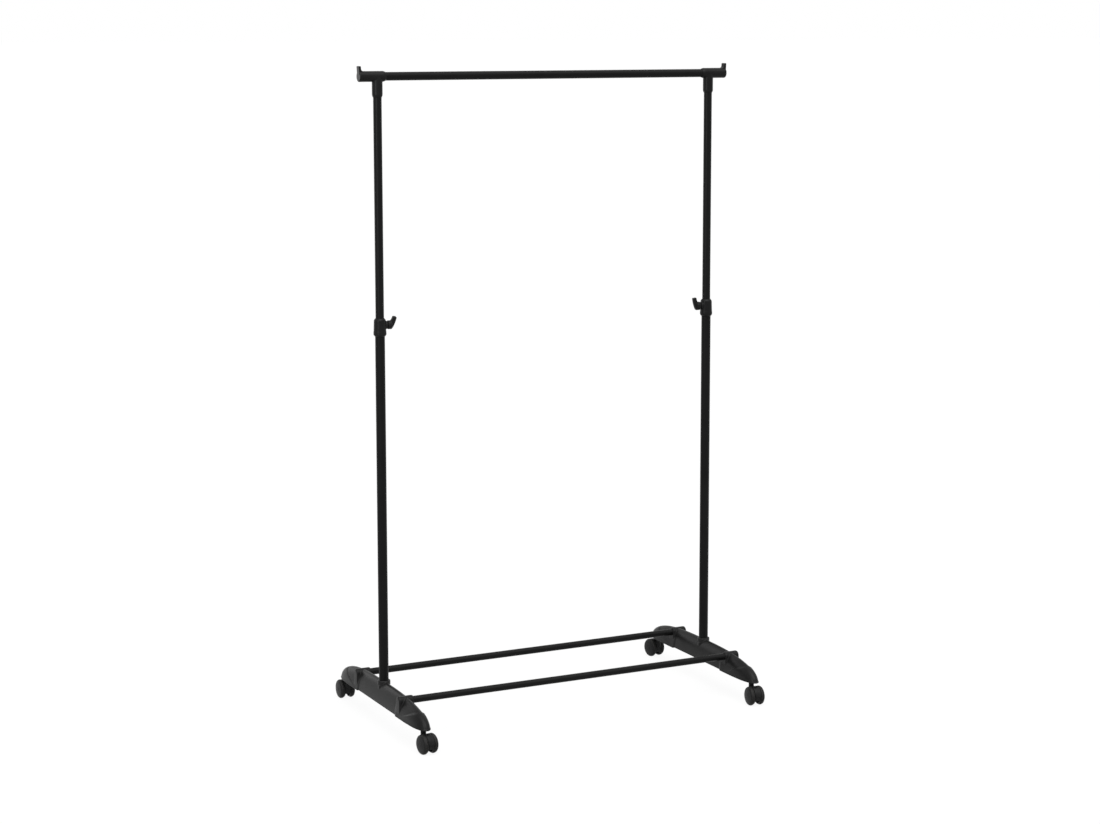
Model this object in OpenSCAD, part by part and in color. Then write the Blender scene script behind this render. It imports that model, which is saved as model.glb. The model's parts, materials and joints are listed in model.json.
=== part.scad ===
// Rolling clothes rack: a telescopic steel frame on two moulded legs with twin-wheel casters.
// Millimetres, +Z up, +X to the right, origin on the floor under the middle of the rack.

/* [Frame] */
// Distance between the axes of the two posts
post_spacing = 841; // [600:1:1100]
// Height of the hanging rail's axis above the floor
rail_height = 1475; // [1300:1:1600]
// Height of the clamp screws' axes above the floor
clamp_height = 922; // [800:1:1000]
// Distance between the axes of the two base rails
base_rail_gap = 256; // [200:1:300]
// Height of the base rails' axes above the lip of the legs
base_rail_rise = 37.5; // [36:0.5:48]
// Distance between the two caster stems of a leg
caster_spread = 456; // [420:1:560]

/* [Tubes] */
// Outside diameter of the upper posts
upper_post_d = 19; // [16:0.5:22]
// Wall of all the tubes
tube_wall = 0.9; // [0.7:0.1:1.5]
// Gap between an upper post and the bore of the lower post round it
slide_gap = 0.6; // [0.4:0.1:1.5]
// Outside diameter of the hanging rail
hanging_rail_d = 19; // [16:0.5:25]
// Outside diameter of the base rails
base_rail_d = 16; // [13:0.5:19]
// Diameter of the locating holes in the upper posts
locating_hole_d = 4.5; // [3:0.5:5]
// Height of the first locating hole above the clamp screw
locating_hole_rise = 35; // [25:1:60]
// Distance between the locating holes
locating_hole_pitch = 250; // [100:1:300]

/* [Legs] */
// Width of a leg in its middle
leg_w = 38; // [36:1:50]
// How much wider a leg is at its lowered ends
leg_flare = 2.5; // [0:0.5:6]
// Height of a leg from its lip to the top of its arched ridge
leg_h = 48; // [42:1:56]
// Length of a leg past each caster stem
leg_tip = 24; // [22:1:40]
// How far the foot of a leg's tip leans out
leg_lean = 4; // [0:0.5:8]
// Step between the lip under the ends and the edge of the middle
leg_step = 2; // [1:0.5:8]
// Length of a leg's lowered end past its base rail, measured towards the post
leg_lip_reach = 15; // [13:1:40]
// Wall of the leg mouldings
leg_wall = 2.6; // [2:0.1:4]
// Wall of the socket round a lower post
socket_wall = 2.6; // [2:0.1:5]
// Height of a post socket's rim above the leg's ridge
socket_rise = 5; // [4:1:40]
// Height of the thicker rim of a post socket
socket_rim_h = 11; // [5:1:15]
// How far the rim stands out of the socket
socket_rim_proud = 1.2; // [0.5:0.1:3]
// Thickness of the floor under a post
socket_floor = 3.5; // [2.5:0.5:6]
// Wall of the bosses round the base rails
boss_wall = 3; // [2:0.1:5]
// Reach of a rail boss past the leg's middle, on the outside
boss_out = 19.5; // [18:0.5:30]
// Reach of a rail boss past the leg's middle, on the inside
boss_in = 17.5; // [16:0.5:30]
// Thickness of a rail boss's closed outer end
boss_end = 2.5; // [1.5:0.5:5]

/* [Height clamps] */
// Height of a clamp collar
collar_h = 41; // [34:1:60]
// Height of the clamp screw above the middle of its collar
collar_screw_rise = 4.5; // [0:0.5:6]
// Wall of a collar round the lower post, at its foot
collar_wall = 3.7; // [3:0.1:8]
// How much a collar narrows towards its top
collar_taper = 1.2; // [0.5:0.1:2]
// Length of a collar's sloped ends
collar_bevel = 4; // [2:0.5:6]
// Thickness of the collar's top that guides the upper post
collar_guide = 6; // [5:0.5:10]
// Diameter of the boss round the clamp screw
screw_boss_d = 15; // [14:0.5:20]
// Length of the screw boss past the collar's wall
screw_boss_proud = 2; // [0.5:0.5:4]
// Diameter of the clamp screws
screw_d = 6; // [5:0.5:8]
// Length of the knob's hub
hub_l = 8; // [6:0.5:15]
// Diameter of the knob's hub
hub_d = 21; // [18:0.5:26]
// Distance of the hub from the screw boss
hub_stand_off = 1; // [0.5:0.1:3]
// Reach of the knob's wing above the screw
wing_up = 20; // [14:0.5:30]
// Turn of the left knob, its wing towards the front
knob_turn_left = 20; // [0:5:355]
// Turn of the right knob, its wing towards the front
knob_turn_right = 0; // [0:5:355]
// Reach of the wing's tip past the hub, away from the post
wing_out = 8.5; // [4:0.5:15]
// Width of the wing's tip
wing_tip_w = 8; // [5:0.5:12]
// Thickness of the knob's wing
wing_t = 5; // [3:0.5:8]

/* [Top corners] */
// Wall of a tee connector round its tubes
tee_wall = 2.4; // [2:0.1:5]
// Length of a tee's lower sleeve under the hanging rail's axis
tee_drop = 46; // [35:1:70]
// Length of a tee's sleeve past the post, on the inside
tee_in = 19; // [16:1:40]
// Length of a tee's peg past the post, on the outside
tee_out = 44.5; // [30:1:70]
// Length of the sloped ends of a tee's sleeves
tee_bevel = 4.5; // [2:0.5:8]
// Thickness of the peg's closed end
peg_end = 4; // [2:0.5:8]
// Rise of the hook above the peg
hook_rise = 11; // [6:0.5:25]
// Width of the hook
hook_w = 14; // [8:0.5:18]
// Thickness of the hook
hook_t = 4.6; // [3:0.5:8]
// Radius of the hollow between the hook and the peg
hook_fillet = 5; // [2:0.5:8]

/* [Casters] */
// Diameter of the wheels
wheel_d = 44.5; // [38:1:60]
// Width of one wheel
wheel_w = 13; // [11:0.5:20]
// Distance between the two wheels of a caster
wheel_gap = 12.8; // [12:0.2:20]
// Radius of a wheel's rounded outer edge
wheel_round = 6; // [1:0.5:6]
// Width of a wheel's tread beside the hood
tread_w = 8; // [7:0.5:9]
// Distance of the axle behind the swivel axis
trail = 17; // [14:0.5:20]
// Diameter of the axles
axle_d = 6; // [5:0.5:8]
// Thickness of the hood
hood_t = 1.5; // [1:0.1:3]
// Gap between a wheel and the hood
hood_gap = 0.5; // [0.4:0.1:2]
// Height of the neck between the hood's top and the leg
neck_h = 8; // [3:0.5:15]
// Diameter of the neck
neck_d = 12.6; // [11:0.2:14]
// Diameter of the stems
stem_d = 8; // [6:0.5:8]
// Reach of a stem into its leg
stem_up = 15; // [12:1:16]
// Swivel of the front left caster from straight ahead
swivel_front_left = 7; // [-180:1:180]
// Swivel of the front right caster from straight ahead
swivel_front_right = -4; // [-180:1:180]
// Swivel of the back left caster from straight back
swivel_back_left = 0; // [-180:1:180]
// Swivel of the back right caster from straight back
swivel_back_right = 7; // [-180:1:180]

/* [Fits] */
// Clearance of a push fit, on the radius
fit_gap = 0.05; // [0.02:0.01:0.1]
// Clearance of a turning or sliding fit, on the radius
run_gap = 0.08; // [0.05:0.01:0.1]
// Gap between faces that move past each other
face_gap = 0.3; // [0.2:0.05:0.5]

/* [Hidden] */
$fn = 96;
// steps of a drawn curve
curve_steps = 12;
// cutters run this far past what they cut
past = 1;

tube_color = "#232323";
moulding_color = "#3a3a3a";
caster_color = "#1d1d1d";
zinc_color = "#b9bdc2";
nylon_color = "#e8e6df";

// tubes
lower_post_d = upper_post_d + 2 * (slide_gap + tube_wall);
lower_bore_d = lower_post_d - 2 * tube_wall;

// wheels and hoods: a wheel is smaller under the hood than at its tread
wheel_r = wheel_d / 2;
hood_r = wheel_r;
wheel_step_r = hood_r - hood_t - hood_gap;
wheel_hub_r = axle_d / 2 + 3;
wheel_cover = 2.4;
wheel_rim = 2.6;
tread_round = 2;
web_t = wheel_gap - 2 * hood_gap;
web_clear = 7;
canopy_w = wheel_gap + 2 * (wheel_w - tread_w) - 2 * hood_gap;
canopy_foot = 2;
// underside of the canopy's skin above the stem, where the full neck begins
canopy_z = wheel_r + sqrt(pow(hood_r - hood_t, 2) - pow(trail - neck_d / 2, 2));

// legs
leg_lip = wheel_r + hood_r + neck_h;
leg_edge = leg_lip + leg_step;
leg_ridge = leg_lip + leg_h;
leg_len = caster_spread + 2 * leg_tip;
// half the length of the slope between a leg's middle and its ends
step_slope = 4;
base_rail_z = leg_lip + base_rail_rise;
boss_r = base_rail_d / 2 + boss_wall;
boss_round = 3;
socket_r = lower_post_d / 2 + socket_wall;
socket_top = leg_ridge + socket_rise;
rim_bevel = 1.5;

// stems and their sockets
stem_foot = wheel_r + 6;
neck_top = leg_lip - face_gap;
caster_socket_r = stem_d / 2 + 2.4;
caster_flange_t = 1.2;
caster_boss_r = caster_socket_r + 2.4;
caster_boss_top = leg_lip + stem_up + 2;
ring_z = leg_lip + stem_up - 7;
ring_t = 1.2;

// fasteners of the legs
bolt_d = 6;
bolt_head_d = 12;
bolt_head_h = 3.5;
bolt_l = 20;
bolt_socket_w = 5;
rail_screw_d = 3.5;
rail_screw_head_d = 7;
rail_screw_head_h = 2.4;
floor_z = leg_edge + bolt_head_h + face_gap;
post_foot = floor_z + socket_floor;
plug_l = 20;
rail_end = post_spacing / 2 + boss_out - boss_end - face_gap;

// height clamps
collar_r = lower_post_d / 2 + collar_wall;
collar_foot = clamp_height - collar_screw_rise - collar_h / 2;
collar_top = collar_foot + collar_h;
lower_post_top = collar_top - collar_guide;
screw_boss_end = collar_r + screw_boss_proud;
screw_hole_d = screw_d + 1;
nut_w = screw_d * 5 / 3;
nut_cover = 1.2;
nut_x = lower_post_d / 2 + face_gap;
nut_t = screw_boss_end - nut_cover - nut_x;
knob_skin = 2;

// tees
tee_r = max(hanging_rail_d, upper_post_d) / 2 + tee_wall;
sleeve_r = upper_post_d / 2 + tee_wall;
// the thin edge of a sloped sleeve end
sleeve_lip = 0.6;
peg_bevel = 1.2;
tee_foot = rail_height - tee_drop;
hanging_rail_end = post_spacing / 2 + tee_out - peg_end - face_gap;
hook_top = rail_height + tee_r + hook_rise;

// upper posts: the rack goes down until the tees are this far above the collars
lowest_gap = 5;
slide_down = tee_foot - collar_top - lowest_gap;
bush_flange = 3;
bush_l = 22;
bush_wall = 2;
upper_post_foot = post_foot + plug_l + slide_down + lowest_gap + bush_flange;
upper_post_top = rail_height - hanging_rail_d / 2 - face_gap;

// ---------- places ----------

// The right-hand side as it is drawn, or the left-hand side as its mirror image
module on_side(side) {
    mirror([side < 0 ? 1 : 0, 0, 0]) translate([post_spacing / 2, 0, 0]) children();
}

// A caster drawn with its swivel axis at the origin and its axle behind it, towards +Y
module on_caster(side, end, swivel) {
    translate([side * post_spacing / 2, end * caster_spread / 2, 0])
        rotate([0, 0, swivel + (end < 0 ? 180 : 0)]) children();
}

// Children drawn along +Z from the origin, laid along +X
module along_x() {
    rotate([0, 90, 0]) children();
}

module tube(outside_d, length) {
    difference() {
        cylinder(d = outside_d, h = length);
        translate([0, 0, -past]) cylinder(d = outside_d - 2 * tube_wall, h = length + 2 * past);
    }
}

// ---------- legs ----------

// One point of a curve that is rounder than an ellipse for powers over 2
function squircle(a, half_w, h, power) = [
    half_w * sign(cos(a)) * pow(abs(cos(a)), 2 / power), h * pow(abs(sin(a)), 2 / power)];

// Outline of a leg seen from its end
function leg_section(inset) = let (half_w = (leg_w + leg_flare) / 2 - inset) concat(
    [[half_w, leg_lip - past]],
    [for (i = [0 : 2 * curve_steps])
        [0, leg_lip] + squircle(90 * i / curve_steps, half_w, leg_h - inset, 2.2)],
    [[-half_w, leg_lip - past]]);

// Arch that falls from 1 in the middle to 0 at the ends, flatter for higher powers
function arch(share, power) = sqrt(max(0, 1 - pow(abs(share), power)));

// Shares along a leg, closer together towards its ends
function along(i) = sin(90 * i / curve_steps);

// Outline of a leg seen from its side, with tips that lean out at their feet
function leg_side(inset) = [for (i = [-curve_steps : curve_steps]) let (rise = arch(along(i), 2.1))
    [along(i) * (leg_len / 2 - inset - leg_lean * (1 - pow(1 - rise, 2))),
        leg_lip + (leg_h - inset) * rise]];

// Half the outline of a leg seen from above, from one tip to the other
function leg_edge_line(inset) = let (
    half_l = leg_len / 2 - inset, half_w = leg_w / 2 - inset, end_w = half_w + leg_flare / 2,
    flare_y = base_rail_gap / 2 - leg_lip_reach)
    concat(
        [for (i = [-curve_steps : 0]) let (y = -half_l + (half_l - flare_y) * (1 - along(-i)))
            [end_w * arch(y / half_l, 8), y]],
        [[half_w, -flare_y + step_slope], [half_w, flare_y - step_slope]],
        [for (i = [0 : curve_steps]) let (y = half_l - (half_l - flare_y) * (1 - along(i)))
            [end_w * arch(y / half_l, 8), y]]);

// Outline of a leg seen from above
function leg_plan(inset) = let (line = leg_edge_line(inset), last = len(line) - 1)
    concat(line, [for (i = [last - 1 : -1 : 1]) [-line[i].x, line[i].y]]);

// The leg as a full block, or the space inside its wall
module leg_block(inset) {
    intersection() {
        translate([0, 0, leg_lip]) linear_extrude(leg_h) polygon(leg_plan(inset));
        rotate([90, 0, 90]) linear_extrude(2 * leg_w, center = true) polygon(leg_side(inset));
        rotate([90, 0, 0]) linear_extrude(leg_len, center = true) polygon(leg_section(inset));
    }
}

// Solid under a base rail, with upright flanks, a round top and a rounded outer end
module rail_boss() {
    boss_l = boss_out + boss_in;
    upright_h = base_rail_z - leg_edge;
    translate([-boss_in, 0, base_rail_z]) along_x() rotate_extrude() polygon([
        [0, 0], [boss_r, 0], [boss_r, boss_l - boss_round],
        [boss_r - boss_round * 0.3, boss_l - boss_round * 0.3],
        [boss_r - boss_round, boss_l], [0, boss_l]]);
    translate([-boss_in, -boss_r, leg_edge]) cube([boss_l - boss_round, 2 * boss_r, upright_h]);
    translate([-boss_in, -boss_r + boss_round, leg_edge])
        cube([boss_l, 2 * (boss_r - boss_round), upright_h]);
    for (end = [-1, 1])
        translate([boss_out - boss_round, end * (boss_r - boss_round), leg_edge])
            cylinder(r = boss_round, h = upright_h);
}

module leg_bosses() {
    translate([0, 0, floor_z]) cylinder(r = socket_r, h = socket_top - floor_z);
    translate([0, 0, socket_top - socket_rim_h]) rotate_extrude() polygon([
        [0, 0], [socket_r + socket_rim_proud, 0],
        [socket_r + socket_rim_proud, socket_rim_h - rim_bevel],
        [socket_r + socket_rim_proud - rim_bevel, socket_rim_h], [0, socket_rim_h]]);
    for (end = [-1, 1]) translate([0, end * base_rail_gap / 2, 0]) rail_boss();
    intersection() {
        leg_block(past);
        for (end = [-1, 1])
            translate([0, end * caster_spread / 2, leg_lip + caster_flange_t])
                cylinder(r = caster_boss_r, h = caster_boss_top - leg_lip - caster_flange_t);
    }
}

module leg_bores() {
    translate([0, 0, post_foot])
        cylinder(r = lower_post_d / 2 + fit_gap, h = socket_top);
    cylinder(d = bolt_d + 1, h = socket_top);
    for (end = [-1, 1]) {
        translate([-boss_in - past, end * base_rail_gap / 2, base_rail_z]) along_x()
            cylinder(r = base_rail_d / 2 + fit_gap, h = boss_in + boss_out - boss_end + past);
        // pocket under the rail, which leaves a wall all round
        translate([0, end * base_rail_gap / 2, 0]) difference() {
            translate([-boss_in + leg_wall, -boss_r + leg_wall, 0])
                cube([boss_in + boss_out - 2 * leg_wall, 2 * (boss_r - leg_wall), base_rail_z]);
            translate([-leg_w, 0, base_rail_z]) along_x() cylinder(r = boss_r, h = 2 * leg_w);
        }
        translate([0, end * base_rail_gap / 2, 0]) cylinder(d = rail_screw_d, h = base_rail_z);
        translate([0, end * caster_spread / 2, 0])
            cylinder(r = caster_socket_r + fit_gap, h = leg_lip + stem_up + fit_gap);
    }
}

module leg() {
    difference() {
        union() {
            difference() {
                leg_block(0);
                translate([0, 0, -past]) leg_block(leg_wall);
                // the middle's edge is higher than the lip under the ends
                middle = base_rail_gap / 2 - leg_lip_reach;
                rotate([90, 0, 90]) linear_extrude(2 * leg_w, center = true) polygon([
                    [-middle - step_slope, leg_lip - past], [middle + step_slope, leg_lip - past],
                    [middle - step_slope, leg_edge], [-middle + step_slope, leg_edge]]);
            }
            leg_bosses();
        }
        leg_bores();
    }
}

module leg_left() { color(moulding_color) on_side(-1) leg(); }
module leg_right() { color(moulding_color) on_side(1) leg(); }

// ---------- base rails ----------

module base_rail(end) {
    difference() {
        translate([-rail_end, end * base_rail_gap / 2, base_rail_z])
            along_x() tube(base_rail_d, 2 * rail_end);
        for (side = [-1, 1]) translate([side * post_spacing / 2, end * base_rail_gap / 2, 0])
            cylinder(d = rail_screw_d + 0.2, h = base_rail_z);
    }
}

module base_rail_front() { color(tube_color) base_rail(-1); }
module base_rail_back() { color(tube_color) base_rail(1); }

// Pan-head screws that hold the base rails down in their bosses
module rail_screws() {
    head_z = base_rail_z - boss_r - rail_screw_head_h;
    color(zinc_color) for (side = [-1, 1], end = [-1, 1])
        translate([side * post_spacing / 2, end * base_rail_gap / 2, head_z]) {
            cylinder(d = rail_screw_head_d, h = rail_screw_head_h);
            cylinder(d = rail_screw_d - 2 * fit_gap, h = boss_wall + rail_screw_head_h + 5);
        }
}

// ---------- lower posts ----------

module lower_post() {
    difference() {
        translate([0, 0, post_foot]) tube(lower_post_d, lower_post_top - post_foot);
        translate([-lower_post_d, 0, clamp_height]) along_x()
            cylinder(d = screw_hole_d, h = lower_post_d);
    }
}

module lower_post_left() { color(tube_color) on_side(-1) lower_post(); }
module lower_post_right() { color(tube_color) on_side(1) lower_post(); }

// Threaded plug in the foot of a lower post
module post_plug() {
    translate([0, 0, post_foot]) difference() {
        cylinder(r = lower_bore_d / 2 - fit_gap, h = plug_l);
        translate([0, 0, -past]) cylinder(r = bolt_d / 2 + fit_gap, h = plug_l + 2 * past);
    }
}

module post_plug_left() { color(zinc_color) on_side(-1) post_plug(); }
module post_plug_right() { color(zinc_color) on_side(1) post_plug(); }

// Bolts that hold the posts in their sockets from below
module post_bolts() {
    color(zinc_color) for (side = [-1, 1]) on_side(side)
        translate([0, 0, floor_z - bolt_head_h]) {
            difference() {
                cylinder(d = bolt_head_d, h = bolt_head_h);
                translate([0, 0, -past])
                    cylinder(d = bolt_socket_w / cos(30), h = bolt_head_h - 1 + past, $fn = 6);
            }
            cylinder(d = bolt_d, h = bolt_l);
        }
}

// ---------- height clamps ----------

module clamp_collar() {
    top_r = collar_r - collar_taper;
    difference() {
        union() {
            translate([0, 0, collar_foot]) rotate_extrude() polygon([
                [0, 0], [lower_post_d / 2 + sleeve_lip, 0], [collar_r, collar_bevel],
                [top_r, collar_h - collar_bevel], [upper_post_d / 2 + sleeve_lip, collar_h],
                [0, collar_h]]);
            translate([-screw_boss_end, 0, clamp_height]) along_x()
                cylinder(d = screw_boss_d, h = screw_boss_end);
        }
        translate([0, 0, collar_foot - past])
            cylinder(r = lower_post_d / 2 + fit_gap, h = lower_post_top - collar_foot + past);
        translate([0, 0, collar_foot])
            cylinder(r = upper_post_d / 2 + run_gap, h = collar_h + past);
        translate([-screw_boss_end - past, 0, clamp_height]) along_x()
            cylinder(d = screw_hole_d, h = screw_boss_end + past);
        translate([-nut_x - nut_t, 0, clamp_height]) along_x() nut_hexagon(fit_gap, nut_t);
    }
}

module clamp_collar_left() { color(moulding_color) on_side(-1) clamp_collar(); }
module clamp_collar_right() { color(moulding_color) on_side(1) clamp_collar(); }

module nut_hexagon(gap, thickness) {
    cylinder(r = (nut_w / 2 + gap) / cos(30), h = thickness, $fn = 6);
}

// Hexagon nuts moulded into the collars
module clamp_nuts() {
    color(zinc_color) for (side = [-1, 1]) on_side(side)
        translate([-nut_x - nut_t, 0, clamp_height]) along_x() difference() {
            nut_hexagon(0, nut_t);
            translate([0, 0, -past]) cylinder(r = screw_d / 2 + run_gap, h = nut_t + 2 * past);
        }
}

// Clamp screw, its tip just short of the upper post
module clamp_screw() {
    tip = upper_post_d / 2 + face_gap;
    screw_end = screw_boss_end + hub_stand_off + hub_l - knob_skin - fit_gap;
    translate([-screw_end, 0, clamp_height]) along_x()
        cylinder(d = screw_d, h = screw_end - tip);
}

module clamp_screw_left() { color(zinc_color) on_side(-1) clamp_screw(); }
module clamp_screw_right() { color(zinc_color) on_side(1) clamp_screw(); }

// A point at a share t of the way along a curve that bends towards point b
function bend(a, b, c, t) = pow(1 - t, 2) * a + 2 * t * (1 - t) * b + pow(t, 2) * c;

// Outline of the wing seen from the front: it leans away from the post at its top
function wing_outline() = let (
    hub_r = hub_d / 2, tip_x = hub_l + wing_out,
    outer_foot = [hub_l - 1, -hub_r - 2], outer_tip = [tip_x, wing_up - 1],
    inner_foot = [hub_l * 0.3, hub_r - 0.5], inner_tip = [tip_x - wing_tip_w, wing_up])
    concat(
        [[hub_l * 0.3, -hub_r - 1.2]],
        [for (i = [0 : curve_steps])
            bend(outer_foot, [tip_x - 0.5, -hub_r * 0.4], outer_tip, i / curve_steps)],
        [for (i = [0 : curve_steps])
            bend(inner_tip, [inner_tip.x - 0.6, hub_r], inner_foot, i / curve_steps)]);

// Wing knob, drawn with its hub's inner face at the origin and its screw along +X
module knob_head() {
    hub_r = hub_d / 2;
    difference() {
        union() {
            along_x() rotate_extrude() polygon([[0, 0], [hub_r - 1.5, 0], [hub_r, 1.5],
                [hub_r, hub_l - 2.5], [hub_r - 2.5, hub_l], [0, hub_l]]);
            rotate([90, 0, 0]) linear_extrude(wing_t, center = true) polygon(wing_outline());
        }
        translate([-past, 0, 0]) along_x()
            cylinder(r = screw_d / 2 + fit_gap, h = hub_l - knob_skin + past);
    }
}

module clamp_knob(turn) {
    translate([-screw_boss_end - hub_stand_off, 0, clamp_height])
        rotate([turn, 0, 0]) mirror([1, 0, 0]) knob_head();
}

module clamp_knob_left() { color(moulding_color) on_side(-1) clamp_knob(knob_turn_left); }
module clamp_knob_right() { color(moulding_color) on_side(1) clamp_knob(knob_turn_right); }

// ---------- upper posts ----------

module upper_post() {
    difference() {
        translate([0, 0, upper_post_foot]) tube(upper_post_d, upper_post_top - upper_post_foot);
        for (i = [0, 1])
            translate([-upper_post_d, 0, clamp_height + locating_hole_rise
                + i * locating_hole_pitch]) along_x() cylinder(d = locating_hole_d, h = upper_post_d);
    }
}

module upper_post_left() { color(tube_color) on_side(-1) upper_post(); }
module upper_post_right() { color(tube_color) on_side(1) upper_post(); }

// Nylon bush in the foot of an upper post, which slides in the lower post
module glide_bush() {
    translate([0, 0, upper_post_foot - bush_flange]) difference() {
        union() {
            cylinder(r = lower_bore_d / 2 - run_gap, h = bush_flange);
            cylinder(r = upper_post_d / 2 - tube_wall - fit_gap, h = bush_l);
        }
        translate([0, 0, -past])
            cylinder(r = upper_post_d / 2 - tube_wall - bush_wall, h = bush_l + 2 * past);
    }
}

module glide_bush_left() { color(nylon_color) on_side(-1) glide_bush(); }
module glide_bush_right() { color(nylon_color) on_side(1) glide_bush(); }

// ---------- hanging rail and tees ----------

module hanging_rail() {
    color(tube_color) translate([-hanging_rail_end, 0, rail_height])
        along_x() tube(hanging_rail_d, 2 * hanging_rail_end);
}

module hook() {
    hook_x = tee_out - hook_t;
    // upright tab with a round top
    translate([hook_x, -hook_w / 2, rail_height])
        cube([hook_t, hook_w, hook_top - hook_w / 2 - rail_height]);
    translate([hook_x, 0, hook_top - hook_w / 2]) along_x() cylinder(d = hook_w, h = hook_t);
    // hollow corner between the tab and the peg
    corner_z = rail_height + tee_r;
    difference() {
        translate([hook_x - hook_fillet, -hook_w / 2, rail_height])
            cube([hook_fillet + past, hook_w, tee_r + hook_fillet]);
        translate([hook_x - hook_fillet, 0, corner_z + hook_fillet]) rotate([90, 0, 0])
            cylinder(r = hook_fillet, h = hook_w + 2 * past, center = true);
    }
}

module tee() {
    difference() {
        union() {
            // peg and inner sleeve, with a sloped inner end and a chamfered outer end
            translate([-tee_in, 0, rail_height]) along_x() rotate_extrude() polygon([
                [0, 0], [hanging_rail_d / 2 + sleeve_lip, 0], [tee_r, tee_bevel],
                [tee_r, tee_in + tee_out - peg_bevel], [tee_r - peg_bevel, tee_in + tee_out],
                [0, tee_in + tee_out]]);
            translate([0, 0, tee_foot]) rotate_extrude() polygon([
                [0, 0], [upper_post_d / 2 + sleeve_lip, 0], [sleeve_r, tee_bevel],
                [sleeve_r, tee_drop], [0, tee_drop]]);
            hook();
        }
        translate([-tee_in - past, 0, rail_height]) along_x()
            cylinder(r = hanging_rail_d / 2 + fit_gap, h = tee_in + tee_out - peg_end + past);
        translate([0, 0, tee_foot - past])
            cylinder(r = upper_post_d / 2 + fit_gap, h = tee_drop + past);
    }
}

module tee_left() { color(moulding_color) on_side(-1) tee(); }
module tee_right() { color(moulding_color) on_side(1) tee(); }

// ---------- casters ----------

// Sleeve in the leg that the stem turns in, with a groove for the grip ring
module caster_socket() {
    translate([0, 0, leg_lip]) difference() {
        union() {
            cylinder(r = caster_boss_r, h = caster_flange_t);
            cylinder(r = caster_socket_r, h = stem_up);
        }
        translate([0, 0, -past]) cylinder(r = stem_d / 2 + run_gap, h = stem_up + 2 * past);
        translate([0, 0, ring_z - leg_lip - 0.8]) cylinder(r = stem_d / 2 + 1.4, h = ring_t + 1.6);
    }
}

module stem() {
    difference() {
        translate([0, 0, stem_foot]) cylinder(d = stem_d, h = leg_lip + stem_up - stem_foot);
        translate([0, 0, ring_z - 0.2]) difference() {
            cylinder(d = 2 * stem_d, h = ring_t + 0.4);
            cylinder(d = stem_d - 1.6, h = ring_t + 0.4);
        }
    }
}

// Split spring ring that keeps the stem in its socket
module grip_ring() {
    translate([0, 0, ring_z]) difference() {
        cylinder(r = stem_d / 2 + 0.8, h = ring_t);
        translate([0, 0, -past]) cylinder(d = stem_d - 1.4, h = ring_t + 2 * past);
        translate([0, -0.75, -past]) cube([stem_d, 1.5, ring_t + 2 * past]);
    }
}

module hood() {
    difference() {
        union() {
            // web between the wheels
            translate([-web_t / 2, trail, wheel_r]) along_x()
                cylinder(r = wheel_step_r, h = web_t);
            // canopy over the inner halves of the wheels
            difference() {
                translate([-canopy_w / 2, trail, wheel_r]) along_x()
                    cylinder(r = hood_r, h = canopy_w);
                translate([-canopy_w / 2 - past, trail, wheel_r]) along_x()
                    cylinder(r = hood_r - hood_t, h = canopy_w + 2 * past);
                translate([-canopy_w, trail - 2 * hood_r, -past])
                    cube([2 * canopy_w, 4 * hood_r, wheel_r + canopy_foot + past]);
            }
            translate([-web_t / 2, trail - hood_r + 0.4, wheel_r])
                cube([web_t, 2 * hood_r - 0.8, canopy_foot + 1]);
            // neck, as thick as the web where it passes between the wheels
            translate([0, 0, canopy_z]) cylinder(d = neck_d, h = neck_top - canopy_z);
            intersection() {
                translate([0, 0, stem_foot - 2]) cylinder(d = neck_d, h = neck_top - stem_foot);
                translate([-web_t / 2, -neck_d, 0]) cube([web_t, 2 * neck_d, leg_lip]);
            }
        }
        translate([0, 0, stem_foot]) cylinder(r = stem_d / 2 + fit_gap, h = leg_lip);
        translate([-web_t, trail, wheel_r]) along_x()
            cylinder(r = axle_d / 2 + fit_gap, h = 2 * web_t);
        // the web stays clear of the floor
        translate([-web_t, trail - 2 * hood_r, -past])
            cube([2 * web_t, 4 * hood_r, web_clear + past]);
    }
}

module axle() {
    axle_l = wheel_gap + 2 * (wheel_w - wheel_cover - face_gap);
    translate([-axle_l / 2, trail, wheel_r]) along_x() cylinder(d = axle_d, h = axle_l);
}

// A wheel, closed on its outer face and open towards the hood's web
module wheel(direction) {
    edge = [for (i = [0 : curve_steps / 2]) let (a = 90 * i / (curve_steps / 2))
        [wheel_r - wheel_round * (1 - cos(a)), wheel_w - wheel_round * (1 - sin(a))]];
    tread_x = wheel_w - tread_w;
    translate([0, trail, wheel_r]) rotate([0, direction * 90, 0])
        translate([0, 0, wheel_gap / 2]) difference() {
            rotate_extrude() polygon(concat([[0, 0], [wheel_step_r, 0], [wheel_step_r, tread_x],
                [wheel_r - tread_round, tread_x], [wheel_r - tread_round * 0.3, tread_x + tread_round * 0.3],
                [wheel_r, tread_x + tread_round]], edge, [[0, wheel_w]]));
            // hollow between the rim and the hub
            translate([0, 0, -past]) difference() {
                cylinder(r = wheel_step_r - wheel_rim, h = wheel_w - wheel_cover + past);
                cylinder(r = wheel_hub_r, h = wheel_w + past);
            }
            translate([0, 0, -past])
                cylinder(r = axle_d / 2 + run_gap, h = wheel_w - wheel_cover + past);
            // shallow ring round the hub cap
            translate([0, 0, wheel_w - 0.8]) difference() {
                cylinder(r = wheel_r * 0.6, h = 2);
                translate([0, 0, -past]) cylinder(r = wheel_r * 0.34, h = 2 + 2 * past);
            }
        }
}

module caster_socket_front_left() { color(caster_color) on_caster(-1, -1, 0) caster_socket(); }
module caster_socket_front_right() { color(caster_color) on_caster(1, -1, 0) caster_socket(); }
module caster_socket_back_left() { color(caster_color) on_caster(-1, 1, 0) caster_socket(); }
module caster_socket_back_right() { color(caster_color) on_caster(1, 1, 0) caster_socket(); }

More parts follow.
